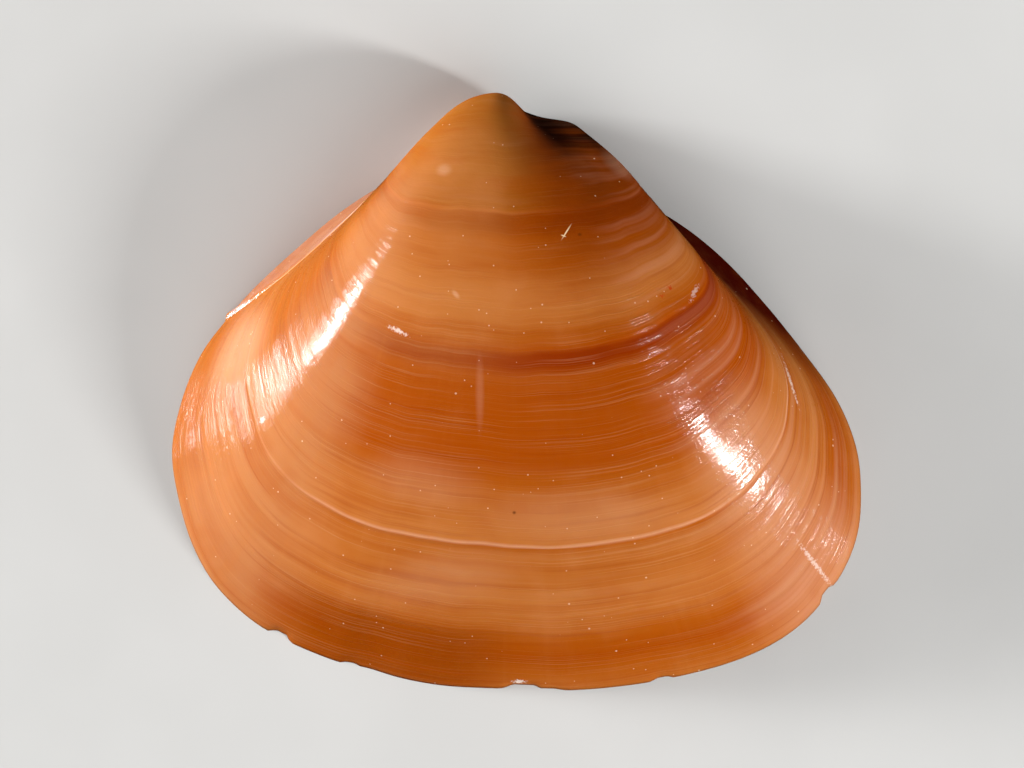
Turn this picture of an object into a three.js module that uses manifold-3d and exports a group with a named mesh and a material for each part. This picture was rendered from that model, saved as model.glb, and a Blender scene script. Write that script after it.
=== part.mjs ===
// The right valve of a small wedge-shaped clam, lying on its margin with its outside up.
// Millimetres. +Z is up, +X points to the front end of the shell and +Y to the beak.
// The origin is under the middle of the valve, on the surface that it rests on.

import * as THREE from "three";
import { mergeVertices } from "three/addons/utils/BufferGeometryUtils.js";
import Module from "manifold-3d";

const { clamp, degToRad, lerp, smoothstep } = THREE.MathUtils;

// The margin, as x and y from the hinge axis: from the beak down the hind slope, along the
// rounded belly and back up the front slope.
const MARGIN_POINTS = [
  [-0.8, -0.35], [-2.65, -1.0], [-4.35, -1.65], [-6.05, -2.7], [-7.85, -4.2], [-9.4, -5.65],
  [-10.45, -6.85], [-11.4, -8.15], [-12.1, -9.8], [-12.5, -11.75], [-12.25, -13.65],
  [-11.65, -15.55], [-10.65, -17.15], [-8.95, -18.6], [-6.55, -19.7], [-5.1, -20.05],
  [-3.75, -20.45], [-2.2, -20.72], [-0.4, -20.82], [2.65, -20.9], [5.85, -20.55],
  [9.05, -19.72], [11.25, -18.5], [12.75, -16.75], [13.5, -15.05], [13.65, -13.3],
  [13.45, -11.6], [12.7, -9.8], [11.35, -7.9], [9.85, -6.05], [8.4, -4.5], [6.85, -3.25],
  [4.95, -2.15], [2.85, -1.15], [0.95, -0.4],
];

// The hinge plate lies a little above the plane of the margin, behind a thin lip.
const PLATE_RECESS = 0.6;
const LIP_WIDTH = 0.45;
const PLATE_RUN_OUT = 8;
const CUT_BELOW = -1;

// Growth: an older margin is the present one turned up about the hinge axis and shrunk. The
// inside turns about an axis of its own, in front of the hinge plate.
const SHRINK_PER_RADIAN = 0.9;
const OUTSIDE = { beak: 166, roundsFrom: 142, step: 7, axisY: 0, axisZ: 0 };
const INSIDE = { beak: 118, roundsFrom: 70, step: 8, axisY: -2.95, axisZ: PLATE_RECESS };

// Low ledges where growth paused, as degrees of turn from the margin and height
const LEDGES = [
  { turn: 6.2, height: 0.05 },
  { turn: 16.4, height: 0.1 },
  { turn: 27, height: 0.05 },
  { turn: 42, height: 0.09 },
  { turn: 67, height: 0.12 },
];
const LEDGE_RUN = 5;
const LEDGE_EDGE = 0.4;

// The hollow in front of the beak: the direction it runs in, measured at the hinge axis from
// straight down towards the front, its depth as a share of the radius, its half width on the
// middle's side and on the front side, where it widens close to the beak, and the turns from the
// margin over which it grows, widens and ends
const HOLLOW = {
  bearing: 29, depth: 0.34, middleWidth: 32, frontWidth: 17, beakWidth: 50,
  grows: [64, 106], widens: [98, 130], ends: [140, 176],
};

// The front shoulder, which older margins carried further out than the present one
const SHOULDER = { bearing: 51, halfWidth: 17, gain: 0.115, grows: [0, 45], ends: [72, 105] };

// The thin ridge that runs from the beak to the hind corner of the margin
const RIDGE = { x: -10.3, y: -6.7, height: 0.13, halfWidth: 0.3 };

// The flat edge of the wall, which widens into the hinge plate under the beak
const EDGE_WIDTH = 0.85;
const PLATE_WIDTH = 2.9;
const PLATE_REACH = 10;
const BELLY_MIDDLE = new THREE.Vector3(0.5, -11, 0);

// Hinge teeth, sockets and the ligament's ledge on the plate. Each is a bar with its heading in
// degrees from straight down towards the front.
const TOOTH_TIP = 0.06;
const TOOTH_ROOT = 1.3;
const SOCKET_FLOOR = 0.9;
const TEETH = [
  { from: [0.75, -1.2], heading: 55, length: 2.3, startWidth: 0.3, endWidth: 0.4 },
  { from: [0.25, -1.35], heading: 12, length: 1.75, startWidth: 0.4, endWidth: 0.75 },
  { from: [-0.35, -1.3], heading: -42, length: 2.3, startWidth: 0.4, endWidth: 0.8 },
  { from: [4.3, -2.75], heading: 60, length: 2.7, startWidth: 0.28, endWidth: 0.28 },
  { from: [3.95, -3.5], heading: 60, length: 2.5, startWidth: 0.28, endWidth: 0.28 },
];
const SOCKETS = [
  { from: [0.75, -1.5], heading: 34, length: 1.15, startWidth: 0.25, endWidth: 0.7 },
  { from: [-0.1, -1.5], heading: -14, length: 1.0, startWidth: 0.25, endWidth: 0.6 },
  { from: [4.1, -3.15], heading: 60, length: 2.6, startWidth: 0.5, endWidth: 0.5 },
];
const LIGAMENT_LEDGE = {
  from: [-1.6, -1.4], heading: -64, length: 4.4, startWidth: 0.5, endWidth: 0.25,
};
const BAR_DRAFT = 0.6;

// Chips out of the margin, by their bearing at the hinge axis
const CHIPS = [
  { bearing: -24.1, width: 0.7, depth: 0.2 },
  { bearing: -16.1, width: 0.5, depth: 0.1 },
  { bearing: 2.9, width: 1.6, depth: 0.18 },
  { bearing: 16.6, width: 0.6, depth: 0.12 },
  { bearing: 35.7, width: 0.7, depth: 0.18 },
];
const CHIP_HEIGHT = 0.8;
const CHIP_SIDES = 7;

const COLUMNS = 96;
const RIDGE_COLUMNS = [-0.25, 0, 0.25];

const marginCurve = new THREE.CatmullRomCurve3(
  MARGIN_POINTS.map(([x, y]) => new THREE.Vector3(x, y, 0)), true, "catmullrom", 0.5,
);

const X_AXIS = new THREE.Vector3(1, 0, 0);

const wasm = await Module();
wasm.setup();

// 1 at the middle of a bump, falling smoothly to 0 at its half width
function bump(distance, halfWidth) {
  const share = clamp(Math.abs(distance) / halfWidth, 0, 1);
  return (1 + Math.cos(Math.PI * share)) / 2;
}

function bearingOf(point) {
  return THREE.MathUtils.radToDeg(Math.atan2(point.x, -point.y));
}

// The places along the margin where the surface has its columns: even steps, and three close
// together over the hind ridge.
function columnPlaces() {
  const steps = Array.from({ length: COLUMNS }, (_, i) => i / COLUMNS);
  const ridge = new THREE.Vector3(RIDGE.x, RIDGE.y, 0);
  const away = (t) => marginCurve.getPoint(t).distanceTo(ridge);
  const fine = Array.from({ length: 3000 }, (_, i) => i / 3000);
  const foot = fine.reduce((best, t) => (away(t) < away(best) ? t : best));
  const kept = steps.filter((t) => Math.abs(t - foot) > 0.8 / COLUMNS);
  const close = RIDGE_COLUMNS.map((part) => foot + part / COLUMNS);
  return [...kept, ...close].sort((a, b) => a - b);
}

// A margin point with the hind ridge standing out of it
function marginPoint(t) {
  const point = marginCurve.getPoint(t);
  const along = marginCurve.getTangent(t);
  const away = Math.hypot(point.x - RIDGE.x, point.y - RIDGE.y);
  const height = RIDGE.height * bump(away, RIDGE.halfWidth);
  return point.add(new THREE.Vector3(along.y, -along.x, 0).multiplyScalar(height));
}

// How far the inside edge of the wall lies from a margin point, towards the middle of the belly
function movedIn(point, width) {
  const inward = BELLY_MIDDLE.clone().sub(point).normalize();
  return point.clone().addScaledVector(inward, width);
}

function wallWidth(point) {
  return lerp(PLATE_WIDTH, EDGE_WIDTH, smoothstep(point.length(), 0, PLATE_REACH));
}

function grownBetween(turn, [start, end]) {
  return smoothstep(turn, start, end);
}

// The share of its radius that the outside loses to the hollow by the beak, less what the front
// shoulder adds to it
function hollowLoss(bearing, turn) {
  const widening = (HOLLOW.beakWidth - HOLLOW.frontWidth) * grownBetween(turn, HOLLOW.widens);
  const halfWidth = bearing < HOLLOW.bearing ? HOLLOW.middleWidth : HOLLOW.frontWidth + widening;
  const hollow = HOLLOW.depth * bump(bearing - HOLLOW.bearing, halfWidth)
    * grownBetween(turn, HOLLOW.grows) * (1 - grownBetween(turn, HOLLOW.ends));
  const shoulder = SHOULDER.gain * bump(bearing - SHOULDER.bearing, SHOULDER.halfWidth)
    * grownBetween(turn, SHOULDER.grows) * (1 - grownBetween(turn, SHOULDER.ends));
  return hollow - shoulder;
}

// The share of its radius that the outside loses to the hollow and to the ledges
function outsideLoss(bearing, turn, radius) {
  const ledges = LEDGES.reduce((sum, ledge) => {
    const since = ledge.turn - turn;
    return since > 0 ? sum + ledge.height * Math.exp(-since / LEDGE_RUN) : sum;
  }, 0);
  const present = LEDGES.reduce(
    (sum, ledge) => sum + ledge.height * Math.exp(-ledge.turn / LEDGE_RUN), 0,
  );
  return hollowLoss(bearing, turn) + (ledges - present * bump(turn, LEDGE_RUN)) / radius;
}

// A point of the margin as it was at an earlier stage: turned up about the form's axis and
// shrunk. Near the beak the whole outline closes to a rounded tip.
function grown(point, turn, form, loss) {
  const middle = new THREE.Vector3(BELLY_MIDDLE.x, BELLY_MIDDLE.y, 0);
  const closing = clamp((turn - form.roundsFrom) / (form.beak - form.roundsFrom), 0, 1);
  const closed = middle.lerp(point, Math.sqrt(1 - closing * closing));
  const angle = degToRad(turn);
  const size = Math.exp(-SHRINK_PER_RADIAN * angle) * (1 - loss);
  const fromAxis = new THREE.Vector3(closed.x, closed.y - form.axisY, -form.axisZ);
  fromAxis.applyAxisAngle(X_AXIS, -angle).multiplyScalar(size);
  return fromAxis.add(new THREE.Vector3(0, form.axisY, form.axisZ));
}

// The turns at which the outside has its rows: even steps, and a close pair at each ledge
function outsideTurns() {
  const steps = Array.from({ length: Math.floor(OUTSIDE.roundsFrom / OUTSIDE.step) + 1 },
    (_, i) => i * OUTSIDE.step);
  const clear = steps.filter((turn) =>
    LEDGES.every((ledge) => Math.abs(ledge.turn - turn) > OUTSIDE.step / 3));
  const pairs = LEDGES.flatMap((ledge) => [ledge.turn - LEDGE_EDGE, ledge.turn + LEDGE_EDGE]);
  const tip = [0.35, 0.65, 0.85, 0.96].map((part) => lerp(OUTSIDE.roundsFrom, OUTSIDE.beak, part));
  return [...clear, ...pairs, ...tip].sort((a, b) => a - b);
}

function insideTurns() {
  const count = Math.floor(INSIDE.roundsFrom / INSIDE.step);
  const steps = Array.from({ length: count + 1 }, (_, i) => i * INSIDE.step);
  const tip = [0.2, 0.45, 0.68, 0.86, 0.96].map((part) => lerp(INSIDE.roundsFrom, INSIDE.beak, part));
  return [...steps, ...tip];
}

// Joins rings of points, outermost first, and the tip that closes them
function skin(rings, tip, firstIndex, facesOut) {
  const count = rings[0].length;
  const triangles = [];
  const add = (a, b, c) => triangles.push(...(facesOut ? [a, b, c] : [a, c, b]));
  const at = (ring, column) => firstIndex + ring * count + (column % count);
  for (let ring = 0; ring < rings.length - 1; ring += 1) {
    for (let column = 0; column < count; column += 1) {
      add(at(ring, column), at(ring, column + 1), at(ring + 1, column + 1));
      add(at(ring, column), at(ring + 1, column + 1), at(ring + 1, column));
    }
  }
  const tipIndex = firstIndex + rings.length * count;
  for (let column = 0; column < count; column += 1) {
    add(at(rings.length - 1, column), at(rings.length - 1, column + 1), tipIndex);
  }
  return { points: [...rings.flat(), tip], triangles };
}

// The wall of the valve: its outside, its inside and the flat edge between them
function wall() {
  const edge = columnPlaces().map(marginPoint);
  const outside = outsideTurns().map((turn) => edge.map((point) =>
    grown(point, turn, OUTSIDE, outsideLoss(bearingOf(point), turn, point.length()))));
  const outsideTip = grown(BELLY_MIDDLE, OUTSIDE.beak, OUTSIDE, 0);

  const insideEdge = edge.map((point) => movedIn(point, wallWidth(point)));
  const inside = insideTurns().map((turn) => insideEdge.map((point) =>
    grown(point, turn, INSIDE, 0)));
  const insideTip = grown(BELLY_MIDDLE, INSIDE.beak, INSIDE, 0);

  const outer = skin(outside, outsideTip, 0, true);
  const inner = skin(inside, insideTip, outer.points.length, false);
  const flatEdge = edge.flatMap((_, column) => {
    const next = (column + 1) % edge.length;
    const first = outer.points.length;
    return [column, first + column, first + next, column, first + next, next];
  });
  const geometry = new THREE.BufferGeometry();
  geometry.setFromPoints([...outer.points, ...inner.points]);
  geometry.setIndex([...outer.triangles, ...inner.triangles, ...flatEdge]);
  return geometry;
}

// The space that sets the hinge plate back from the plane of the margin
function plateRecess() {
  const near = columnPlaces().map((t) => (t > 0.5 ? t - 1 : t)).sort((a, b) => a - b)
    .map((t) => marginCurve.getPoint((t + 1) % 1))
    .filter((point) => point.length() < PLATE_REACH);
  const behindLip = near.map((point) => movedIn(point,
    lerp(LIP_WIDTH, 2 * EDGE_WIDTH, smoothstep(point.length(), PLATE_RUN_OUT, PLATE_REACH))));
  const overCavity = near.map((point) => movedIn(point, wallWidth(point) + 1)).reverse();
  const outline = new THREE.Shape([...behindLip, ...overCavity]);
  const depth = PLATE_RECESS - CUT_BELOW;
  const recess = new THREE.ExtrudeGeometry(outline, { depth, bevelEnabled: false });
  return recess.translate(0, 0, CUT_BELOW);
}

// A straight bar that widens along its heading and has sloping sides
function bar({ from, heading, length, startWidth, endWidth }, bottom, top, bottomShare) {
  const geometry = new THREE.BoxGeometry(1, 1, 1);
  const corners = geometry.attributes.position;
  for (let i = 0; i < corners.count; i += 1) {
    const along = corners.getY(i) + 0.5;
    const isLow = corners.getZ(i) < 0;
    const width = lerp(startWidth, endWidth, along) * (isLow ? bottomShare : 1);
    corners.setXYZ(i, corners.getX(i) * width, along * length, isLow ? bottom : top);
  }
  geometry.rotateZ(Math.PI + degToRad(heading));
  return geometry.translate(from[0], from[1], 0);
}

// A shallow bite out of the margin, centred where the margin has the chip's bearing
function chip({ bearing, width, depth }) {
  const belly = columnPlaces().filter((t) => t > 0.25 && t < 0.75);
  const off = (t) => Math.abs(bearingOf(marginCurve.getPoint(t)) - bearing);
  const nearest = belly.reduce((best, t) => (off(t) < off(best) ? t : best));
  const place = marginCurve.getPoint(nearest);
  const along = marginCurve.getTangent(nearest);
  const bite = new THREE.CylinderGeometry(1, 1, CHIP_HEIGHT, CHIP_SIDES);
  bite.rotateX(Math.PI / 2).scale(width / 2, depth, 1);
  return bite.rotateZ(Math.atan2(along.y, along.x)).translate(place.x, place.y, 0);
}

function solidFrom(geometry) {
  geometry.deleteAttribute("normal");
  geometry.deleteAttribute("uv");
  const merged = mergeVertices(geometry, 1e-5);
  const vertProperties = new Float32Array(merged.attributes.position.array);
  const triVerts = new Uint32Array(merged.index.array);
  return new wasm.Manifold(new wasm.Mesh({ numProp: 3, vertProperties, triVerts }));
}

function geometryFrom(solid) {
  const { vertProperties, triVerts } = solid.getMesh();
  const geometry = new THREE.BufferGeometry();
  geometry.setAttribute("position", new THREE.BufferAttribute(vertProperties, 3));
  geometry.setIndex(new THREE.BufferAttribute(triVerts, 1));
  return geometry;
}

function valveSolid() {
  let solid = solidFrom(wall()).subtract(solidFrom(plateRecess()));
  for (const socket of SOCKETS) {
    solid = solid.subtract(solidFrom(bar(socket, CUT_BELOW, SOCKET_FLOOR, 1)));
  }
  for (const tooth of [...TEETH, LIGAMENT_LEDGE]) {
    solid = solid.add(solidFrom(bar(tooth, TOOTH_TIP, TOOTH_ROOT, BAR_DRAFT)));
  }
  for (const bite of CHIPS) {
    solid = solid.subtract(solidFrom(chip(bite)));
  }
  return solid;
}

function valve() {
  const geometry = geometryFrom(valveSolid());
  geometry.computeBoundingBox();
  const middle = geometry.boundingBox.getCenter(new THREE.Vector3());
  geometry.translate(-middle.x, -middle.y, -geometry.boundingBox.min.z);
  geometry.computeVertexNormals();
  const glossyShell = new THREE.MeshStandardMaterial({
    color: 0xc4712f, roughness: 0.25, metalness: 0,
  });
  const mesh = new THREE.Mesh(geometry, glossyShell);
  mesh.name = "valve";
  return mesh;
}

const shell = new THREE.Group();
shell.add(valve());

export default shell;
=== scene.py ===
# Looks of the clam valve: a fine mesh of the same growth form as the solid, with its growth
# ledges, chipped margin and hinge, in a glossy banded shell material. Metres, solid's frame.

import math

import bpy
import numpy as np
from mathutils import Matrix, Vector


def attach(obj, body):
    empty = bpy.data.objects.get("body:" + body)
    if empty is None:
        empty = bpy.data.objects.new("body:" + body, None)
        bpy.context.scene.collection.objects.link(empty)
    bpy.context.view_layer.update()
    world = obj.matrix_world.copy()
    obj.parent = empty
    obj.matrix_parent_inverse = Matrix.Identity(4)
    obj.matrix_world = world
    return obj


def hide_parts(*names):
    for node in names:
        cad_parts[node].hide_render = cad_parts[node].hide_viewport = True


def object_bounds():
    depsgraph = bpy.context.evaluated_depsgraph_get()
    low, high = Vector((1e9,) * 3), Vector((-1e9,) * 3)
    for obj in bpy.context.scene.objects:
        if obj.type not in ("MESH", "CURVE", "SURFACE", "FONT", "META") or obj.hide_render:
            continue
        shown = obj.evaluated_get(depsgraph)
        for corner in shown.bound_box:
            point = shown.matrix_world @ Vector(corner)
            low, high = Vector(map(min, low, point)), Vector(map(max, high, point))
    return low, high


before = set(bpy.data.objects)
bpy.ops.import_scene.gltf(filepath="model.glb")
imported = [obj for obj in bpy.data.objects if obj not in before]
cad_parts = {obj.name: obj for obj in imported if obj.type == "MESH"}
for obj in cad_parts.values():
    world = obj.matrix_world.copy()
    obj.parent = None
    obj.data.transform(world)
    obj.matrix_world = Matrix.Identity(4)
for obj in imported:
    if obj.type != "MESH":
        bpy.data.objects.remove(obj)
cad_low, cad_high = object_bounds()

MM = 0.001

# The margin, as x and y from the hinge axis: from the beak down the hind slope, along the
# rounded belly and back up the front slope.
MARGIN = MM * np.array([
    (-0.8, -0.35), (-2.65, -1.0), (-4.35, -1.65), (-6.05, -2.7), (-7.85, -4.2), (-9.4, -5.65),
    (-10.45, -6.85), (-11.4, -8.15), (-12.1, -9.8), (-12.5, -11.75), (-12.25, -13.65),
    (-11.65, -15.55), (-10.65, -17.15), (-8.95, -18.6), (-6.55, -19.7), (-5.1, -20.05),
    (-3.75, -20.45), (-2.2, -20.72), (-0.4, -20.82), (2.65, -20.9), (5.85, -20.55),
    (9.05, -19.72), (11.25, -18.5), (12.75, -16.75), (13.5, -15.05), (13.65, -13.3),
    (13.45, -11.6), (12.7, -9.8), (11.35, -7.9), (9.85, -6.05), (8.4, -4.5), (6.85, -3.25),
    (4.95, -2.15), (2.85, -1.15), (0.95, -0.4),
])
BELLY_MIDDLE = MM * np.array((0.5, -11.0))
FULL_RADIUS = 20.85 * MM

# Growth: an older margin is the present one turned up about the hinge axis and shrunk.
SHRINK_PER_RADIAN = 0.9
OUTSIDE_BEAK, OUTSIDE_ROUNDS_FROM = 166.0, 142.0
INSIDE_BEAK, INSIDE_ROUNDS_FROM = 118.0, 70.0

# Low ledges where growth paused: degrees of turn from the margin, and height
LEDGES = ((6.2, 0.05 * MM), (16.4, 0.1 * MM), (27.0, 0.05 * MM), (42.0, 0.09 * MM), (67.0, 0.12 * MM))
LEDGE_RUN = 5.0

# Along the belly, between these bearings, the present margin has small waves. They fade out by
# this turn.
BELLY_BEARING, WAVES_END = 44.0, 14.0

# The hollow in front of the beak, by its bearing at the hinge axis from straight down: its depth
# as a share of the radius, and its half width on the middle's side and on the front side, where
# it widens close to the beak. It grows and ends over these turns from the margin.
HOLLOW_BEARING, HOLLOW_DEPTH = 29.0, 0.34
HOLLOW_MIDDLE_WIDTH, HOLLOW_FRONT_WIDTH, HOLLOW_BEAK_WIDTH = 40.0, 17.0, 50.0
HOLLOW_EASE = 1.5
HOLLOW_TURNS, HOLLOW_WIDENS, HOLLOW_ENDS = (64.0, 106.0), (98.0, 130.0), (140.0, 176.0)

# The front shoulder, which older margins carried further out than the present one
SHOULDER_BEARING, SHOULDER_HALF_WIDTH, SHOULDER_GAIN = 51.0, 17.0, 0.115
SHOULDER_TURNS, SHOULDER_ENDS = (0.0, 45.0), (72.0, 105.0)

# The thin ridge from the beak to the hind corner of the margin
RIDGE_FOOT = MM * np.array((-10.3, -6.7))
RIDGE_HEIGHT, RIDGE_HALF_WIDTH = 0.13 * MM, 0.3 * MM

# The bearing at which the strip beyond the front shoulder begins, at the margin and at its end
FRONT_STRIP_BEARINGS = (51.0, 57.0)

# The flat edge of the wall, and the hinge plate that it widens into under the beak
EDGE_WIDTH, PLATE_WIDTH, PLATE_REACH = 0.85 * MM, 2.9 * MM, 10.0 * MM
INSIDE_AXIS_DROP = 2.95 * MM
PLATE_RECESS, LIP_WIDTH, LIP_SLOPE = 0.6 * MM, 0.45 * MM, 0.18 * MM
TOOTH_RISE, SOCKET_SINK, BAR_SLOPE = 0.54 * MM, 0.3 * MM, 0.16 * MM

# Bars on the hinge plate: start x and y, heading, length, width at the start and at the end
TEETH = (
    (0.75, -1.2, 55, 2.3, 0.3, 0.4),
    (0.25, -1.35, 12, 1.75, 0.4, 0.75),
    (-0.35, -1.3, -42, 2.3, 0.4, 0.8),
    (4.3, -2.75, 60, 2.7, 0.28, 0.28),
    (3.95, -3.5, 60, 2.5, 0.28, 0.28),
    (-1.6, -1.4, -64, 4.4, 0.5, 0.25),
)
SOCKETS = (
    (0.75, -1.5, 34, 1.15, 0.25, 0.7),
    (-0.1, -1.5, -14, 1.0, 0.25, 0.6),
    (4.1, -3.15, 60, 2.6, 0.5, 0.5),
)

# Chips out of the margin: bearing, width, depth
CHIPS = (
    (-24.1, 0.7, 0.2), (-16.1, 0.5, 0.08), (2.3, 1.2, 0.19), (4.3, 1.3, 0.08),
    (16.6, 0.6, 0.1), (35.7, 0.6, 0.15),
)
CHIP_HEIGHT = 0.4 * MM

COLUMNS, OUTSIDE_ROWS, EDGE_ROWS, INSIDE_ROWS = 320, 220, 14, 60


def smoothstep(values, low, high):
    """0 below low and 1 above high, with a smooth rise between them."""
    share = np.clip((values - low) / (high - low), 0, 1)
    return share * share * (3 - 2 * share)


def bump(distance, half_width):
    """1 at distance 0, falling smoothly to 0 at half_width."""
    share = np.clip(np.abs(distance) / half_width, 0, 1)
    return (1 + np.cos(np.pi * share)) / 2


def margin_curve(places):
    """Points of the closed curve through MARGIN, for places from 0 to 1 around it."""
    count = len(MARGIN)
    steps = np.asarray(places) % 1 * count
    first = np.floor(steps).astype(int)
    part = (steps - first)[:, None]
    before, start, end, after = (MARGIN[(first + k) % count] for k in (-1, 0, 1, 2))
    linear = end - before
    square = 2 * before - 5 * start + 4 * end - after
    cube = 3 * start - before - 3 * end + after
    return 0.5 * (2 * start + linear * part + square * part**2 + cube * part**3)


def outward(points):
    """The direction out of the closed outline at each of its points."""
    along = np.roll(points, -1, axis=0) - np.roll(points, 1, axis=0)
    along /= np.linalg.norm(along, axis=1, keepdims=True)
    return np.stack((along[:, 1], -along[:, 0]), axis=1)


def bearing_of(points):
    """Degrees from straight down the belly, seen from the hinge axis, positive to the front."""
    return np.degrees(np.arctan2(points[..., 0], -points[..., 1]))


def column_places():
    """Places around the margin, closer together at the ridge, the chips and the hinge."""
    places = np.linspace(0, 1, 4001)
    points = margin_curve(places)
    steps = np.linalg.norm(np.diff(points, axis=0), axis=1)
    middle = (points[1:] + points[:-1]) / 2
    to_ridge = np.linalg.norm(middle - RIDGE_FOOT, axis=1)
    closeness = 1 + 2.5 * bump(to_ridge, 0.9 * MM)
    closeness += 0.8 * (1 - smoothstep(np.linalg.norm(middle, axis=1), 2 * MM, 7 * MM))
    bearings = bearing_of(middle)
    is_belly = middle[:, 1] < BELLY_MIDDLE[1]
    for bearing, width, _ in CHIPS:
        closeness += 1.2 * is_belly * bump(bearings - bearing, 3 * width)
    reach = np.concatenate(([0], np.cumsum(steps * closeness)))
    wanted = np.arange(COLUMNS) / COLUMNS * reach[-1]
    return np.interp(wanted, reach, places)


def margin_with_ridge():
    """The outline, with the foot of the thin ridge standing out of it."""
    points = margin_curve(column_places())
    away = np.linalg.norm(points - RIDGE_FOOT, axis=1)
    return points + outward(points) * (RIDGE_HEIGHT * bump(away, RIDGE_HALF_WIDTH))[:, None]


def evened(flat):
    """The outline with the small waves of its belly smoothed out, as older margins had it."""
    bearing = bearing_of(flat)
    is_belly = (np.abs(bearing) < BELLY_BEARING) & (flat[:, 1] < BELLY_MIDDLE[1])
    place = bearing / BELLY_BEARING
    radius = np.linalg.norm(flat, axis=1)
    even = np.polyval(np.polyfit(place[is_belly], radius[is_belly], 5), np.clip(place, -1, 1))
    share = is_belly * (1 - smoothstep(np.abs(place), 0.7, 0.95))
    return flat * (1 + share * (even / radius - 1))[:, None]


def turned(flat, lift, turn, axis_y, axis_z, rounds_from, beak, loss):
    """Points of the outline flat, lift above the margin's plane, at an earlier stage: turned
    about the axis and shrunk. Towards the beak the outline closes to a rounded tip."""
    closing = np.clip((turn - rounds_from) / (beak - rounds_from), 0, 1)
    keep = np.sqrt(1 - closing**2)
    x = BELLY_MIDDLE[0] + (flat[:, 0] - BELLY_MIDDLE[0]) * keep
    y = BELLY_MIDDLE[1] + (flat[:, 1] - BELLY_MIDDLE[1]) * keep - axis_y
    z = lift - axis_z
    angle = np.radians(turn)
    size = np.exp(-SHRINK_PER_RADIAN * angle) * (1 - loss)
    return np.stack((
        x * size,
        axis_y + (y * np.cos(angle) + z * np.sin(angle)) * size,
        axis_z + (z * np.cos(angle) - y * np.sin(angle)) * size,
    ), axis=-1)


def outside_loss(flat, turn):
    """The share of its radius that the outside loses to the hollow by the beak and to ledges."""
    bearing = bearing_of(flat)
    widening = (HOLLOW_BEAK_WIDTH - HOLLOW_FRONT_WIDTH) * smoothstep(turn, *HOLLOW_WIDENS)
    half_width = np.where(bearing < HOLLOW_BEARING, HOLLOW_MIDDLE_WIDTH, HOLLOW_FRONT_WIDTH + widening)
    ease = np.where(bearing < HOLLOW_BEARING, HOLLOW_EASE, 1.0)
    hollow = HOLLOW_DEPTH * bump(bearing - HOLLOW_BEARING, half_width) ** ease
    hollow = hollow * smoothstep(turn, *HOLLOW_TURNS) * (1 - smoothstep(turn, *HOLLOW_ENDS))
    shoulder = SHOULDER_GAIN * bump(bearing - SHOULDER_BEARING, SHOULDER_HALF_WIDTH)
    shoulder = shoulder * smoothstep(turn, *SHOULDER_TURNS) * (1 - smoothstep(turn, *SHOULDER_ENDS))
    ledges = np.zeros_like(turn)
    for place, height in LEDGES:
        since = place - turn
        ledges += height * np.where(since > 0, np.exp(-np.maximum(since, 0) / LEDGE_RUN), 0)
        ledges -= height * math.exp(-place / LEDGE_RUN) * bump(turn, LEDGE_RUN)
    return hollow - shoulder + ledges / np.linalg.norm(flat, axis=1)


def outside_rings(flat):
    """The outside, from the margin to the beak, in rows of even size steps."""
    smallest = math.exp(-SHRINK_PER_RADIAN * math.radians(OUTSIDE_BEAK))
    sizes = np.linspace(1, smallest, OUTSIDE_ROWS, endpoint=False)
    turns = np.degrees(-np.log(sizes) / SHRINK_PER_RADIAN)[:, None] * np.ones(len(flat))
    waves = flat - evened(flat)
    older = (smoothstep(turns, 0, WAVES_END) + 0 * turns)[..., None]
    rings = np.stack([
        turned(flat - waves * share, 0.0, turn, 0.0, 0.0, OUTSIDE_ROUNDS_FROM, OUTSIDE_BEAK,
               outside_loss(flat, turn))
        for turn, share in zip(turns, older)
    ])
    chipped = np.zeros(len(flat))
    for bearing, width, depth in CHIPS:
        half_angle = math.degrees(width * MM / 2 / FULL_RADIUS) * 1.6
        near = bump(bearing_of(flat) - bearing, half_angle) * (flat[:, 1] < BELLY_MIDDLE[1])
        chipped = np.maximum(chipped, depth * MM * np.minimum(1, 1.6 * near))
    inward = -outward(flat)
    share = np.clip(1 - rings[..., 2] / CHIP_HEIGHT, 0, 1) * (turns < LEDGE_RUN)
    rings[..., :2] += share[..., None] * chipped[:, None] * inward
    return rings, turns


def plate_share(flat):
    """1 at the hinge axis, falling to 0 at the ends of the hinge plate."""
    return 1 - smoothstep(np.linalg.norm(flat, axis=-1), 0, PLATE_REACH)


def inside_edge(flat):
    """Where the flat edge ends and the hollow begins: plan points and their lift."""
    width = EDGE_WIDTH + (PLATE_WIDTH - EDGE_WIDTH) * plate_share(flat)
    to_middle = BELLY_MIDDLE - flat
    to_middle /= np.linalg.norm(to_middle, axis=1, keepdims=True)
    reach = np.linalg.norm(flat, axis=1)
    lift = PLATE_RECESS * (1 - smoothstep(reach, 6.5 * MM, 9.5 * MM))
    return flat + to_middle * width[:, None], lift


def bar_share(points, bar):
    """1 on top of a bar of the hinge plate and 0 off it, with sloping sides."""
    start_x, start_y, heading, length, start_width, end_width = bar
    angle = math.radians(heading)
    along_axis = np.array((math.sin(angle), -math.cos(angle)))
    from_start = points - MM * np.array((start_x, start_y))
    along = from_start @ along_axis
    across = np.abs(from_start @ np.array((along_axis[1], -along_axis[0])))
    part = np.clip(along / (length * MM), 0, 1)
    half = (start_width + (end_width - start_width) * part) * MM / 2
    sides = 1 - smoothstep(across, half - BAR_SLOPE / 2, half + BAR_SLOPE / 2)
    ends = smoothstep(along, -BAR_SLOPE, BAR_SLOPE)
    ends = ends * (1 - smoothstep(along, length * MM - BAR_SLOPE, length * MM + BAR_SLOPE))
    return sides * ends


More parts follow.
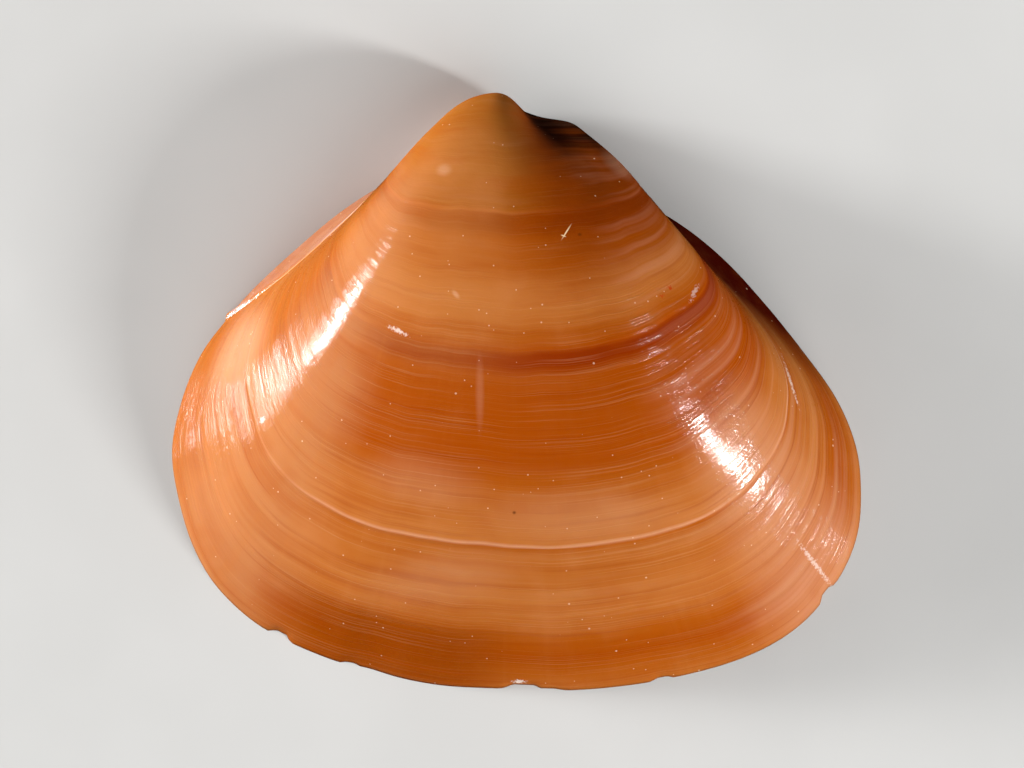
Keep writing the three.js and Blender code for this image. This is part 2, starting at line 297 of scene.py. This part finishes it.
def edge_rings(outer, inner, lift):
    """The underside between the margin and the hollow: a flat edge, and the hinge plate."""
    shares = np.linspace(0, 1, EDGE_ROWS + 2)[1:-1, None, None]
    plan = outer[:, :2] * (1 - shares) + inner * shares
    from_lip = np.linalg.norm(plan - outer[:, :2], axis=-1)
    drop = smoothstep(from_lip, LIP_WIDTH, LIP_WIDTH + LIP_SLOPE)
    height = lift * drop
    for bar in SOCKETS:
        height = height + SOCKET_SINK * bar_share(plan, bar) * drop
    for bar in TEETH:
        height = height - np.minimum(TOOTH_RISE, height) * bar_share(plan, bar)
    return np.concatenate((plan, height[..., None]), axis=-1)


def inside_rings(flat, lift):
    parts = np.linspace(0, 1, INSIDE_ROWS + 1)[:-1]
    smallest = math.exp(-SHRINK_PER_RADIAN * math.radians(INSIDE_BEAK))
    sizes = 1 + (smallest - 1) * parts
    turns = np.degrees(-np.log(sizes) / SHRINK_PER_RADIAN)[:, None] * np.ones(len(flat))
    rings = np.stack([
        turned(flat, lift, turn, -INSIDE_AXIS_DROP, PLATE_RECESS, INSIDE_ROUNDS_FROM, INSIDE_BEAK, 0.0)
        for turn in turns
    ])
    return rings, turns


def add_attribute(mesh, name, values):
    layer = mesh.attributes.new(name, "FLOAT", "POINT")
    layer.data.foreach_set("value", np.asarray(values, dtype=np.float32))


def ring_faces(ring_count, columns):
    """Quads between neighbouring rings, and the triangles that close both ends."""
    faces = []
    for ring in range(ring_count - 1):
        for column in range(columns):
            after = (column + 1) % columns
            low, high = ring * columns, (ring + 1) * columns
            faces.append((low + column, low + after, high + after, high + column))
    first_tip = ring_count * columns
    for column in range(columns):
        after = (column + 1) % columns
        faces.append((first_tip, after, column))
        top = (ring_count - 1) * columns
        faces.append((top + column, top + after, first_tip + 1))
    return faces


def make_valve():
    """The whole valve as one closed skin: from the tip inside, over the edge, to the beak."""
    flat = margin_with_ridge()
    outside, outside_turns = outside_rings(flat)
    inner, lift = inside_edge(flat)
    edge = edge_rings(outside[0], inner, lift)
    inside, inside_turns = inside_rings(inner, lift)
    rings = np.concatenate((inside[::-1], edge[::-1], outside))
    whole = len(flat)
    tip_flat = BELLY_MIDDLE[None, :]
    inside_tip = turned(tip_flat, 0.0, np.array([INSIDE_BEAK]), -INSIDE_AXIS_DROP, PLATE_RECESS,
                        INSIDE_ROUNDS_FROM, INSIDE_BEAK, 0.0)
    outside_tip = turned(tip_flat, 0.0, np.array([OUTSIDE_BEAK]), 0.0, 0.0,
                         OUTSIDE_ROUNDS_FROM, OUTSIDE_BEAK, 0.0)
    points = np.concatenate((rings.reshape(-1, 3), inside_tip, outside_tip))

    # The hinge axis lies where the margin's lowest x and y meet the solid's box.
    axis_x = cad_low.x - flat[:, 0].min()
    axis_y = cad_low.y - flat[:, 1].min()
    points += np.array((axis_x, axis_y, cad_low.z))

    mesh = bpy.data.meshes.new("valve_shell")
    mesh.from_pydata(points.tolist(), [], ring_faces(len(rings), whole))
    mesh.polygons.foreach_set("use_smooth", [True] * len(mesh.polygons))

    edge_turns = np.zeros((EDGE_ROWS, whole))
    turns = np.concatenate((inside_turns[::-1], edge_turns, outside_turns)).ravel()
    turns = np.concatenate((turns, (INSIDE_BEAK, OUTSIDE_BEAK)))
    sides = np.concatenate((
        np.ones(inside_turns.size), np.ones(edge_turns.size), np.zeros(outside_turns.size), (1, 0)))
    bearings = np.tile(bearing_of(flat), len(rings))
    bearings = np.concatenate((bearings, (0, 0)))
    add_attribute(mesh, "turn", turns)
    add_attribute(mesh, "size", np.exp(-SHRINK_PER_RADIAN * np.radians(turns)))
    add_attribute(mesh, "bearing", bearings)
    add_attribute(mesh, "inner", sides)
    past_ridge = np.linalg.norm(flat - RIDGE_FOOT, axis=1)
    past_ridge *= np.where(bearing_of(flat) < bearing_of(RIDGE_FOOT), 1, -1)
    past_ridge[flat[:, 0] > 0] = -1
    add_attribute(mesh, "past_ridge", np.concatenate((np.tile(past_ridge / MM, len(rings)), (-9, -9))))
    mesh.validate()
    valve = bpy.data.objects.new("valve_shell", mesh)
    bpy.context.scene.collection.objects.link(valve)
    return valve


def size_at(turn):
    """The share of its full size that the shell had at this turn from the margin."""
    return math.exp(-SHRINK_PER_RADIAN * math.radians(turn))


# Colours of the outside by growth stage, as turn from the margin: the umbo is tan and dull, and
# orange and brown bands alternate from there to the margin.
TAN, DULL, BROWN = (0.35, 0.105, 0.012), (0.31, 0.080, 0.004), (0.26, 0.045, 0.0006)
RUST, DEEP, AMBER = (0.24, 0.024, 0.0003), (0.33, 0.056, 0.0006), (0.37, 0.080, 0.004)
ORANGE, PEACH, PALE = (0.42, 0.118, 0.018), (0.46, 0.145, 0.030), (0.54, 0.20, 0.07)
WHITISH = (0.60, 0.27, 0.14)
STAGES = (
    (88, TAN), (78, TAN), (72, DULL), (67.9, DULL), (67.4, ORANGE), (67, BROWN),
    (63.5, BROWN), (61, AMBER), (56, AMBER), (53, ORANGE), (50, PEACH), (46.5, ORANGE),
    (44.5, AMBER), (42.2, DEEP), (41.4, RUST), (39.8, RUST), (38, DEEP), (26.5, DEEP),
    (24, AMBER), (21, ORANGE), (17, PEACH), (16.7, WHITISH), (16.4, AMBER), (15.2, ORANGE),
    (12.5, ORANGE), (9.5, PEACH), (8.2, ORANGE), (6.2, AMBER), (3.8, DEEP), (2, AMBER), (0, ORANGE),
)

# Tints over parts of the outside: the bearings between which each rises and falls, the turns
# between which it rises and falls, its strength and its colour
BLUSH, CREAM, HONEY = (0.44, 0.17, 0.065), (0.56, 0.24, 0.12), (0.45, 0.16, 0.042)
FADED = (0.33, 0.12, 0.045)
# The last two tints darken the umbo's front side, partly with painted shade, and paint shade into the
# hollow in front of the beak.
UMBER_WITH_SHADE, PAINTED_HOLLOW_SHADE = (0.21, 0.028, 0.0003), (0.02, 0.003, 0.0005)
TINTS = (
    ((-130, -120, -50, -42), (-9, -8, 72, 92), 0.75, ORANGE),
    ((-50, -40, -32, -20), (-9, -8, 66, 84), 0.75, BLUSH),
    ((-31, -17, -6, 4), (-9, -8, 5, 8), 0.9, BROWN),
    ((-38, -22, -16, 14), (32, 46, 88, 104), 0.5, HONEY),
    ((-130, -120, -60, -30), (68, 80, 104, 130), 0.6, FADED),
    ((26, 34, 38, 46), (-9, -8, 22, 30), 0.6, CREAM),
    # the umbo's front side darker brown: partly its own colour, partly painted shade
    ((-4, 22, 80, 90), (46, 66, 170, 180), 0.85, UMBER_WITH_SHADE),
    # painted shade: the hollow in front of the beak made near black, over the shell's own dark brown
    ((14, 31, 80, 90), (72, 90, 170, 180), 0.97, PAINTED_HOLLOW_SHADE),
)

# The bearings of the front flank where pale streaks follow the growth
STREAKED_FLANK = (22, 33, 44, 54)


class Nodes:
    """Short calls that add and join shader nodes of one material."""

    def __init__(self, name):
        self.material = bpy.data.materials.new(name)
        self.material.use_nodes = True
        self.tree = self.material.node_tree
        self.shader = self.tree.nodes["Principled BSDF"]

    def link(self, value, socket):
        if isinstance(value, bpy.types.NodeSocket):
            self.tree.links.new(value, socket)
        elif isinstance(value, tuple) and len(value) == 3 and socket.type == "RGBA":
            socket.default_value = (*value, 1.0)
        else:
            socket.default_value = value

    def attribute(self, name):
        node = self.tree.nodes.new("ShaderNodeAttribute")
        node.attribute_name = name
        return node.outputs["Fac"]

    def math(self, operation, first, second=0.0):
        node = self.tree.nodes.new("ShaderNodeMath")
        node.operation = operation
        for value, socket in zip((first, second), node.inputs):
            self.link(value, socket)
        return node.outputs[0]

    def span(self, value, low, high, to_low=0.0, to_high=1.0):
        node = self.tree.nodes.new("ShaderNodeMapRange")
        node.interpolation_type = "SMOOTHSTEP"
        for item, name in zip((value, low, high, to_low, to_high),
                              ("Value", "From Min", "From Max", "To Min", "To Max")):
            self.link(item, node.inputs[name])
        return node.outputs["Result"]

    def vector(self, x, y):
        node = self.tree.nodes.new("ShaderNodeCombineXYZ")
        for value, socket in zip((x, y), node.inputs):
            self.link(value, socket)
        return node.outputs[0]

    def noise(self, vector, scale=1.0, detail=2.0, roughness=0.5):
        node = self.tree.nodes.new("ShaderNodeTexNoise")
        self.link(vector, node.inputs["Vector"])
        self.link(scale, node.inputs["Scale"])
        self.link(detail, node.inputs["Detail"])
        self.link(roughness, node.inputs["Roughness"])
        return node.outputs["Fac"]

    def specks(self, vector, scale, radius):
        """White where a scattered dot of this radius is, in cells of size 1 / scale."""
        node = self.tree.nodes.new("ShaderNodeTexVoronoi")
        self.link(vector, node.inputs["Vector"])
        self.link(scale, node.inputs["Scale"])
        near = self.span(node.outputs["Distance"], radius * 0.6, radius, 1.0, 0.0)
        chosen = self.tree.nodes.new("ShaderNodeSeparateColor")
        self.link(node.outputs["Color"], chosen.inputs[0])
        return near, chosen.outputs[0]

    def ramp(self, value, stops):
        node = self.tree.nodes.new("ShaderNodeValToRGB")
        elements = node.color_ramp.elements
        for element, (place, colour) in zip(elements, (stops[0], stops[-1])):
            element.position = place
            element.color = (*colour, 1.0)
        for place, colour in stops[1:-1]:
            elements.new(place).color = (*colour, 1.0)
        self.link(value, node.inputs[0])
        return node.outputs["Color"]

    def mix(self, share, first, second):
        node = self.tree.nodes.new("ShaderNodeMix")
        node.data_type = "RGBA"
        self.link(share, node.inputs[0])
        self.link(first, node.inputs[6])
        self.link(second, node.inputs[7])
        return node.outputs[2]

    def position(self):
        return self.tree.nodes.new("ShaderNodeTexCoord").outputs["Object"]


# Marks on the outside, as plan x and y from the hinge axis, half length, half width and heading
# in degrees from +X, with how strong each one is: scuffs and healed scars, soft pale patches and
# rays, painted sheen and a painted reflection, a fibre, flecks of deeper red and dark dots
SCUFFS = (
    (-3.9, -7.25, 0.42, 0.10, -28, 0.65),
    (7.25, -5.85, 0.35, 0.10, 65, 0.35),
    (11.9, -16.1, 1.1, 0.10, -52, 0.5),
    (0.68, -20.55, 0.28, 0.08, 0, 0.9),
    (-9.0, -10.6, 0.17, 0.10, 60, 0.7),
    (10.95, -9.2, 0.95, 0.05, -72, 0.5),
)
PALE_PATCHES_AND_SHEEN = (
    (-0.8, -9.6, 1.7, 0.2, 90, 0.1),
    # painted sheen on the umbo's hind side
    (-2.15, -1.2, 0.36, 0.28, 10, 0.22),
    # painted reflection on the crest beyond the hollow
    (4.4, -1.0, 0.9, 0.40, -42, 0.18),
    (-1.7, -5.9, 0.25, 0.12, -50, 0.3),
    (3.0, -14.2, 4.5, 1.2, 0, 0.1),
    (-2.2, -16.6, 3.5, 1.3, 8, 0.1),
    (-3.0, -12.9, 3.0, 1.2, -12, 0.1),
    # painted sheen: a broad pale glow on the hind flank
    (-9.9, -8.0, 2.4, 1.0, 63, 0.4),
)
FIBRES = ((2.45, -3.55, 0.40, 0.035, 58, 1.0), (2.34, -3.70, 0.12, 0.035, -20, 1.0))
RED_FLECKS = ((6.05, -5.95, 0.12, 0.08, 40, 0.8), (6.35, -5.65, 0.14, 0.09, -20, 0.8))
DARK_DOTS = ((0.49, -14.1, 0.09, 0.08, 0, 0.7), (2.95, -3.65, 0.10, 0.08, 0, 0.5))

# Dust: how many cells to a metre, a speck's radius in cells, and the share of cells with one
DUST = ((1000.0, 0.05, 0.35), (2000.0, 0.08, 0.25), (3600.0, 0.12, 0.12))

# Colours of the front strip, its own dark red deepened with painted shade, of the hind one, and of the
# ridge's line and its lens at the margin
SHADED_STRIP_RED, STRIP_PINK = (0.05, 0.002, 0.0002), (0.74, 0.52, 0.46)
RIDGE_LINE, RIDGE_LENS = (0.66, 0.38, 0.19), (0.60, 0.48, 0.46)

# The turns over which the umbo becomes dull, and the coat where the shell is glossy
UMBO_DULLS, COAT_WEIGHT = (62.0, 78.0), 0.75

# The hinge axis in the solid's frame, for the marks
HINGE_AXIS = (cad_low.x - MARGIN[:, 0].min(), cad_low.y - MARGIN[:, 1].min())


def marks(nodes, place, ragged, listed):
    """The strongest of the listed marks at each place. ragged moves their edges in and out."""
    split = nodes.tree.nodes.new("ShaderNodeSeparateXYZ")
    nodes.link(place, split.inputs[0])
    total = 0.0
    for x, y, half_length, half_width, heading, strength in listed:
        cosine, sine = math.cos(math.radians(heading)), math.sin(math.radians(heading))
        from_x = nodes.math("SUBTRACT", split.outputs[0], HINGE_AXIS[0] + x * MM)
        from_y = nodes.math("SUBTRACT", split.outputs[1], HINGE_AXIS[1] + y * MM)
        along = nodes.math("ADD", nodes.math("MULTIPLY", from_x, cosine),
                           nodes.math("MULTIPLY", from_y, sine))
        across = nodes.math("SUBTRACT", nodes.math("MULTIPLY", from_y, cosine),
                            nodes.math("MULTIPLY", from_x, sine))
        along = nodes.math("POWER", nodes.math("DIVIDE", along, half_length * MM), 2.0)
        across = nodes.math("POWER", nodes.math("DIVIDE", across, half_width * MM), 2.0)
        reach = nodes.math("ADD", nodes.math("SQRT", nodes.math("ADD", along, across)), ragged)
        total = nodes.math("MAXIMUM", total, nodes.span(reach, 0.2, 1.1, strength, 0.0))
    return total


class Growth:
    """Noises that follow the growth of the shell: long around it and narrow along its growth."""

    def __init__(self, nodes):
        self.nodes = nodes
        self.size, self.bearing = nodes.attribute("size"), nodes.attribute("bearing")
        self.turn = nodes.attribute("turn")
        waver = self.noise_at(self.size, 1.0, 0.05, 2.0)
        self.stage = nodes.math("ADD", self.size, nodes.span(waver, 0.2, 0.8, -0.004, 0.004))

    def noise_at(self, stage, along, around, detail):
        vector = self.nodes.vector(self.nodes.math("MULTIPLY", stage, along),
                                   self.nodes.math("MULTIPLY", self.bearing, around))
        return self.nodes.noise(vector, 1.0, detail, 0.6)

    def lines(self, along, around, detail=1.0):
        return self.noise_at(self.stage, along, around, detail)


def window(nodes, value, places):
    """1 between the middle two of four places, falling smoothly to 0 at the outer two."""
    rises, full, falls, ends = places
    return nodes.math("MULTIPLY", nodes.span(value, rises, full),
                      nodes.span(value, falls, ends, 1.0, 0.0))


def banded_colour(nodes, growth, place):
    """Bands by stage and tints by bearing, with growth lines, rays and clouding."""
    colour = nodes.ramp(growth.stage, [(size_at(turn), colour) for turn, colour in STAGES])
    for bearings, turns, strength, tint in TINTS:
        share = nodes.math("MULTIPLY", window(nodes, growth.bearing, bearings),
                           window(nodes, growth.turn, turns))
        colour = nodes.mix(nodes.math("MULTIPLY", share, strength), colour, tint)
    parts = nodes.tree.nodes.new("ShaderNodeSeparateColor")
    nodes.link(colour, parts.inputs[0])
    is_light = nodes.span(parts.outputs["Green"], 0.03, 0.12, 0.05, 1.0)

    broad = growth.lines(34.0, 0.018, 2.0)
    colour = nodes.mix(nodes.span(broad, 0.32, 0.5, 0.3, 0.0), colour, DEEP)
    lighter = nodes.math("MULTIPLY", nodes.span(broad, 0.52, 0.72, 0.0, 0.25), is_light)
    colour = nodes.mix(lighter, colour, BLUSH)
    flank = nodes.math("ADD", nodes.span(growth.bearing, 22.0, 40.0, 1.0, 1.7),
                       nodes.span(growth.bearing, -32.0, -14.0, 0.1, 0.0))
    flank = nodes.math("MULTIPLY", flank, nodes.span(growth.size, 0.38, 0.6, 0.35, 1.0))
    narrow = growth.lines(110.0, 0.03, 2.0)
    darker = nodes.math("MULTIPLY", nodes.span(narrow, 0.3, 0.46, 0.22, 0.0), flank)
    colour = nodes.mix(darker, colour, RUST)
    lighter = nodes.math("MULTIPLY", nodes.span(narrow, 0.55, 0.75, 0.0, 0.2), flank)
    colour = nodes.mix(nodes.math("MULTIPLY", lighter, is_light), colour, PALE)

    rays = nodes.noise(nodes.vector(nodes.math("MULTIPLY", growth.bearing, 0.45),
                                    nodes.math("MULTIPLY", growth.size, 1.5)), 1.0, 3.0, 0.65)
    lighter = nodes.math("MULTIPLY", nodes.span(rays, 0.45, 0.75, 0.0, 0.2), is_light)
    lighter = nodes.math("MULTIPLY", lighter, nodes.span(growth.size, 0.4, 0.6))
    colour = nodes.mix(lighter, colour, PEACH)
    streaks = nodes.math("MULTIPLY", nodes.span(growth.lines(60.0, 0.015, 2.0), 0.44, 0.7),
                         window(nodes, growth.bearing, STREAKED_FLANK))
    streaks = nodes.math("MULTIPLY", streaks, nodes.span(parts.outputs["Green"], 0.005, 0.06, 0.2, 1.0))
    colour = nodes.mix(nodes.math("MULTIPLY", streaks, 0.25), colour, (0.62, 0.28, 0.16))
    cloud = nodes.noise(place, 420.0, 2.0, 0.6)
    lighter = nodes.math("MULTIPLY", nodes.span(cloud, 0.48, 0.75, 0.0, 0.2), is_light)
    colour = nodes.mix(lighter, colour, PALE)
    return nodes.mix(nodes.span(cloud, 0.25, 0.48, 0.22, 0.0), colour, DEEP)


def hairlines(nodes, growth):
    """Thin pale growth threads in long stretches, fainter on the umbo."""
    threads = growth.lines(560.0, 0.03, 1.0)
    stretches = growth.lines(30.0, 0.06, 1.0)
    threads = nodes.math("MULTIPLY", nodes.span(threads, 0.5, 0.75),
                         nodes.span(stretches, 0.3, 0.6, 0.3, 1.0))
    return nodes.math("MULTIPLY", threads, nodes.span(growth.size, 0.35, 0.6, 0.25, 1.0))


def front_strip(nodes, growth):
    strip = nodes.span(growth.bearing, *FRONT_STRIP_BEARINGS)
    return nodes.math("MULTIPLY", strip, nodes.span(growth.size, 0.4, 0.6))


def with_strips(nodes, growth, place, colour):
    """The dark strip beyond the front shoulder, darkened partly with painted shade, and the ridge with
    the strip beyond it.
    """
    mottle = nodes.noise(place, 1400.0, 3.0)
    front = nodes.math("MULTIPLY", front_strip(nodes, growth),
                       nodes.span(mottle, 0.35, 0.75, 1.0, 0.93))
    # the front strip's dark red, partly painted shade
    colour = nodes.mix(front, colour, SHADED_STRIP_RED)

    past_ridge = nodes.attribute("past_ridge")
    hind = nodes.math("MULTIPLY", nodes.span(past_ridge, 0.0, 0.3),
                      nodes.span(growth.size, 0.55, 0.8, 1.0, 0.2))
    hind = nodes.math("MULTIPLY", hind, nodes.span(mottle, 0.4, 0.6, 0.7, 1.0))
    colour = nodes.mix(hind, colour, STRIP_PINK)

    lens = nodes.math("MULTIPLY", nodes.span(growth.size, 0.88, 0.95),
                      nodes.span(growth.size, 0.97, 1.0, 1.0, 0.4))
    half_width = nodes.math("ADD", nodes.math("MULTIPLY", lens, 0.1), 0.1)
    away = nodes.math("DIVIDE", nodes.math("ABSOLUTE", past_ridge), half_width)
    ridge = nodes.math("MULTIPLY", nodes.span(away, 0.4, 1.1, 1.0, 0.0),
                       nodes.span(growth.size, 0.45, 0.65, 0.2, 0.9))
    return nodes.mix(ridge, colour, nodes.mix(lens, RIDGE_LINE, RIDGE_LENS))


def with_marks(nodes, place, colour):
    """Scuffs, pale patches and painted sheen, flecks, dots and dust."""
    grain = nodes.noise(place, 12000.0, 2.0)
    ragged = nodes.span(grain, 0.3, 0.7, -0.45, 0.45)
    # pale patches of the shell, with painted sheen and a painted reflection, in one colour
    colour = nodes.mix(marks(nodes, place, 0.0, PALE_PATCHES_AND_SHEEN), colour, (0.74, 0.44, 0.28))
    colour = nodes.mix(marks(nodes, place, ragged, SCUFFS), colour, (0.84, 0.70, 0.62))
    colour = nodes.mix(marks(nodes, place, ragged, RED_FLECKS), colour, (0.45, 0.03, 0.002))
    colour = nodes.mix(marks(nodes, place, 0.0, DARK_DOTS), colour, (0.06, 0.012, 0.002))
    colour = nodes.mix(marks(nodes, place, 0.0, FIBRES), colour, (0.88, 0.66, 0.38))
    for scale, radius, share in DUST:
        near, pick = nodes.specks(place, scale, radius)
        dust = nodes.math("MULTIPLY", near, nodes.span(pick, 1 - share, 1 - share + 0.02))
        colour = nodes.mix(nodes.math("MULTIPLY", dust, 0.55), colour, (0.80, 0.56, 0.38))
    return colour


# On the inside: where the mantle's edge was attached, as turns between which its line rises and
# falls, and the scars of the two closing muscles, written like the marks above
MANTLE_LINE = (14.5, 15.5, 17.0, 19.0)
MUSCLE_SCARS = ((8.3, -7.9, 1.9, 1.2, 58, 0.5), (-7.4, -8.2, 1.7, 1.3, -50, 0.5))


def inside_colour(nodes, growth, place):
    """Cream flushed with salmon, with the mantle's line and the muscle scars."""
    flush = nodes.noise(place, 110.0, 3.0)
    colour = nodes.mix(nodes.span(flush, 0.35, 0.7), (0.80, 0.66, 0.52), (0.78, 0.45, 0.28))
    line = nodes.math("MULTIPLY", window(nodes, growth.turn, MANTLE_LINE), 0.35)
    colour = nodes.mix(line, colour, (0.66, 0.42, 0.28))
    return nodes.mix(marks(nodes, place, 0.0, MUSCLE_SCARS), colour, (0.66, 0.40, 0.26))


def shell_material():
    nodes = Nodes("glossy_shell")
    growth = Growth(nodes)
    place = nodes.position()
    inner = nodes.attribute("inner")
    threads = hairlines(nodes, growth)

    colour = banded_colour(nodes, growth, place)
    colour = nodes.mix(nodes.math("MULTIPLY", threads, 0.16), colour, (0.74, 0.36, 0.15))
    colour = with_strips(nodes, growth, place, colour)
    colour = with_marks(nodes, place, colour)
    colour = nodes.mix(inner, colour, inside_colour(nodes, growth, place))
    nodes.link(colour, nodes.shader.inputs["Base Color"])

    fine = nodes.noise(place, 5200.0, 3.0, 0.6)
    is_dull = nodes.math("MAXIMUM", front_strip(nodes, growth),
                         nodes.span(growth.turn, *UMBO_DULLS, 0.0, 0.9))
    roughness = nodes.math("ADD", nodes.span(fine, 0.3, 0.7, 0.26, 0.42),
                           nodes.math("MULTIPLY", is_dull, 0.45))
    nodes.link(roughness, nodes.shader.inputs["Roughness"])
    coat = nodes.math("SUBTRACT", COAT_WEIGHT, nodes.math("MULTIPLY", is_dull, COAT_WEIGHT))
    nodes.link(coat, nodes.shader.inputs["Coat Weight"])
    nodes.shader.inputs["Specular IOR Level"].default_value = 0.01
    nodes.shader.inputs["Coat Roughness"].default_value = 0.085
    nodes.shader.inputs["Coat IOR"].default_value = 1.45
    nodes.shader.inputs["Subsurface Weight"].default_value = 0.12
    nodes.shader.inputs["Subsurface Radius"].default_value = (1.0, 0.3, 0.05)
    nodes.shader.inputs["Subsurface Scale"].default_value = 0.5 * MM

    # Growth lines and grain in the surface, which is smoother inside
    height = nodes.math("ADD", growth.lines(110.0, 0.03, 2.0), nodes.math("MULTIPLY", threads, 0.8))
    height = nodes.math("ADD", height, nodes.math("MULTIPLY", fine, 0.7))
    share = nodes.math("SUBTRACT", 1.0, nodes.math("MULTIPLY", inner, 0.9))
    height = nodes.math("MULTIPLY", height, share)
    relief = nodes.tree.nodes.new("ShaderNodeBump")
    relief.inputs["Strength"].default_value = 0.6
    relief.inputs["Distance"].default_value = 0.02 * MM
    nodes.link(height, relief.inputs["Height"])
    nodes.link(relief.outputs[0], nodes.shader.inputs["Normal"])
    nodes.link(relief.outputs[0], nodes.shader.inputs["Coat Normal"])
    return nodes.material


def floor_material():
    nodes = Nodes("pale_floor")
    grain = nodes.noise(nodes.position(), 90.0, 3.0)
    nodes.link(nodes.mix(nodes.span(grain, 0.3, 0.7), (0.54, 0.535, 0.52), (0.57, 0.565, 0.55)),
               nodes.shader.inputs["Base Color"])
    nodes.shader.inputs["Roughness"].default_value = 0.8
    return nodes.material


def make_floor():
    """A pale floor, which the shell's gloss doesn't mirror."""
    half = 0.6
    mesh = bpy.data.meshes.new("studio_floor")
    mesh.from_pydata([(-half, -half, 0), (half, -half, 0), (half, half, 0), (-half, half, 0)], [],
                     [(0, 1, 2, 3)])
    mesh.materials.append(floor_material())
    floor = bpy.data.objects.new("studio_floor", mesh)
    floor.location.z = cad_low.z
    floor.visible_glossy = False
    bpy.context.scene.collection.objects.link(floor)
    return floor


# The photograph's frame: pixels, the scale at the margin, and where the shell's middle shows
PHOTO_WIDTH, PHOTO_HEIGHT = 1024, 768
PHOTO_MM_PER_PIXEL = 0.03796
SHELL_MIDDLE_PIXEL = (516.5, 392.0)
CAMERA_HEIGHT = 0.6
SENSOR_WIDTH = 36.0


def make_camera():
    """Looks straight down, with the shell where the photograph has it."""
    camera = bpy.data.cameras.new("camera")
    view_width = PHOTO_WIDTH * PHOTO_MM_PER_PIXEL * MM
    camera.sensor_width = SENSOR_WIDTH
    camera.lens = SENSOR_WIDTH * CAMERA_HEIGHT / view_width
    camera.clip_start, camera.clip_end = 0.01, 5.0
    holder = bpy.data.objects.new("camera", camera)
    middle_x = (cad_low.x + cad_high.x) / 2
    middle_y = (cad_low.y + cad_high.y) / 2
    right = (PHOTO_WIDTH / 2 - SHELL_MIDDLE_PIXEL[0]) * PHOTO_MM_PER_PIXEL * MM
    up = (SHELL_MIDDLE_PIXEL[1] - PHOTO_HEIGHT / 2) * PHOTO_MM_PER_PIXEL * MM
    holder.location = (middle_x + right, middle_y + up, CAMERA_HEIGHT)
    bpy.context.scene.collection.objects.link(holder)
    bpy.context.scene.camera = holder


def add_light(name, direction, distance, width, height, power, is_reflected=True):
    """A soft panel that faces the shell from this direction."""
    light = bpy.data.lights.new(name, "AREA")
    light.shape = "RECTANGLE"
    light.size, light.size_y = width, height
    light.energy = power
    lamp = bpy.data.objects.new(name, light)
    away = Vector(direction).normalized()
    lamp.location = away * distance
    lamp.rotation_mode = "QUATERNION"
    lamp.rotation_quaternion = away.to_track_quat("Z", "Y")
    lamp.visible_glossy = is_reflected
    bpy.context.scene.collection.objects.link(lamp)


def make_world():
    """A dim pale room, which the shell's gloss doesn't mirror."""
    world = bpy.data.worlds.new("studio")
    bpy.context.scene.world = world
    world.use_nodes = True
    background = world.node_tree.nodes["Background"]
    background.inputs["Color"].default_value = (0.95, 0.97, 1.0, 1.0)
    background.inputs["Strength"].default_value = 0.14
    world.cycles_visibility.glossy = False


def make_studio():
    make_world()
    bpy.context.scene.view_settings.view_transform = "Standard"
    add_light("left_panel", (-0.93, 0.26, 0.22), 0.35, 0.065, 0.05, 1.4)
    add_light("left_glow", (-0.98, 0.19, 0.05), 0.35, 0.16, 0.035, 0.38)
    add_light("right_panel", (0.81, -0.32, 0.48), 0.35, 0.03, 0.07, 0.95)
    add_light("front_panel", (0.15, -0.63, 0.77), 0.8, 0.6, 0.6, 3.45, is_reflected=False)
    add_light("left_fill", (-0.96, 0.26, 0.14), 0.5, 0.3, 0.3, 2.5, is_reflected=False)
    add_light("right_fill", (0.88, -0.47, 0.09), 0.5, 0.3, 0.3, 0.9, is_reflected=False)


valve = make_valve()
valve.data.materials.append(shell_material())
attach(valve, "root")
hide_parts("valve")

make_floor()
make_camera()
make_studio()
